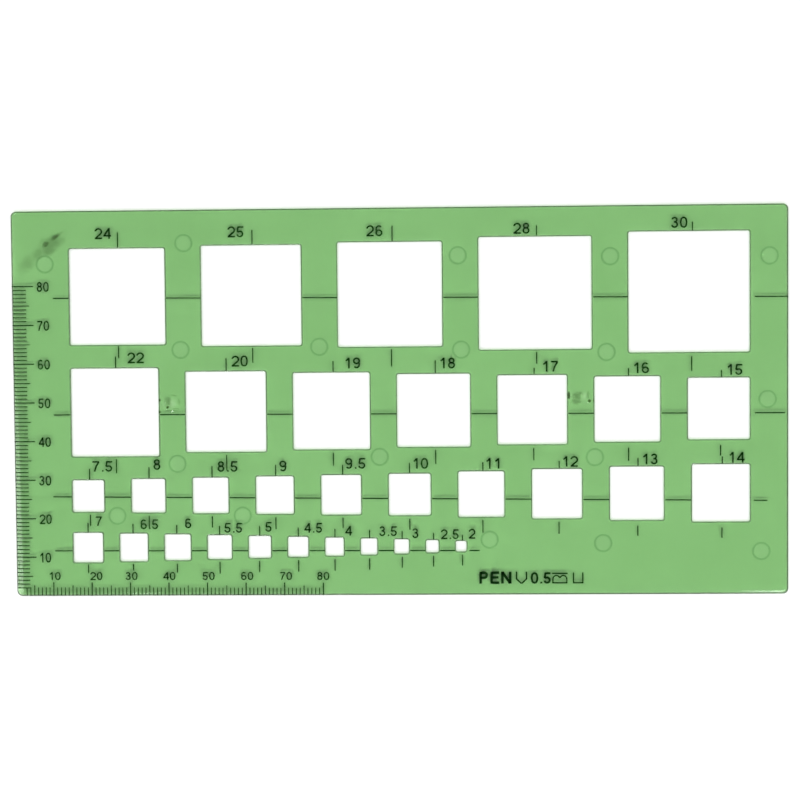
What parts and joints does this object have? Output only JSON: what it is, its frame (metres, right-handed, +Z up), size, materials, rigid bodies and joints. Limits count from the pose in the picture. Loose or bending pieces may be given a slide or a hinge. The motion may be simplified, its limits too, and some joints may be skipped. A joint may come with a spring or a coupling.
{
  "type": "square drawing template",
  "caption": "Flat tinted clear plastic stencil with square windows of graded sizes, printed centre lines and two edge scales, for drawing squares with a pencil or pen.",
  "frame": {"origin": "under the middle of the plate, on the surface that it lies on", "axes": "+X along the long side, towards the largest window; +Y along the short side, from the lower scale to the head of the plate; +Z up through the printed face"},
  "size_m": [0.1986, 0.0994, 0.0012],
  "materials": {
    "tinted_plastic": "clear green moulded acrylic, polished faces, see-through",
    "printing_ink": "opaque green-black screen printing ink, satin"
  },
  "bodies": {
    "root": {"template_plate": "tinted_plastic", "row_1_centre_line_1": "printing_ink", "row_1_centre_line_2": "printing_ink", "row_1_centre_line_3": "printing_ink", "row_1_centre_line_4": "printing_ink", "row_1_centre_line_5": "printing_ink", "row_1_centre_line_6": "printing_ink", "row_2_centre_line_1": "printing_ink", "row_2_centre_line_2": "printing_ink", "row_2_centre_line_3": "printing_ink", "row_2_centre_line_4": "printing_ink", "row_2_centre_line_5": "printing_ink", "row_2_centre_line_6": "printing_ink", "row_2_centre_line_7": "printing_ink", "row_2_centre_line_8": "printing_ink", "row_3_centre_line_1": "printing_ink", "row_3_centre_line_2": "printing_ink", "row_3_centre_line_3": "printing_ink", "row_3_centre_line_4": "printing_ink", "row_3_centre_line_5": "printing_ink", "row_3_centre_line_6": "printing_ink", "row_3_centre_line_7": "printing_ink", "row_3_centre_line_8": "printing_ink", "row_3_centre_line_9": "printing_ink", "row_3_centre_line_10": "printing_ink", "row_3_centre_line_11": "printing_ink", "row_4_centre_line_1": "printing_ink", "row_4_centre_line_2": "printing_ink", "row_4_centre_line_3": "printing_ink", "row_4_centre_line_4": "printing_ink", "row_4_centre_line_5": "printing_ink", "row_4_centre_line_6": "printing_ink", "row_4_centre_line_7": "printing_ink", "row_4_centre_line_8": "printing_ink", "row_4_centre_line_9": "printing_ink", "row_4_centre_line_10": "printing_ink", "row_4_centre_line_11": "printing_ink", "row_4_centre_line_12": "printing_ink", "left_scale_mark_10": "printing_ink", "lower_scale_mark_10": "printing_ink", "left_scale_mark_20": "printing_ink", "lower_scale_mark_20": "printing_ink", "left_scale_mark_30": "printing_ink", "lower_scale_mark_30": "printing_ink", "left_scale_mark_40": "printing_ink", "lower_scale_mark_40": "printing_ink", "left_scale_mark_50": "printing_ink", "lower_scale_mark_50": "printing_ink", "left_scale_mark_60": "printing_ink", "lower_scale_mark_60": "printing_ink", "left_scale_mark_70": "printing_ink", "lower_scale_mark_70": "printing_ink", "left_scale_mark_80": "printing_ink", "lower_scale_mark_80": "printing_ink"}
  },
  "joints": []
}
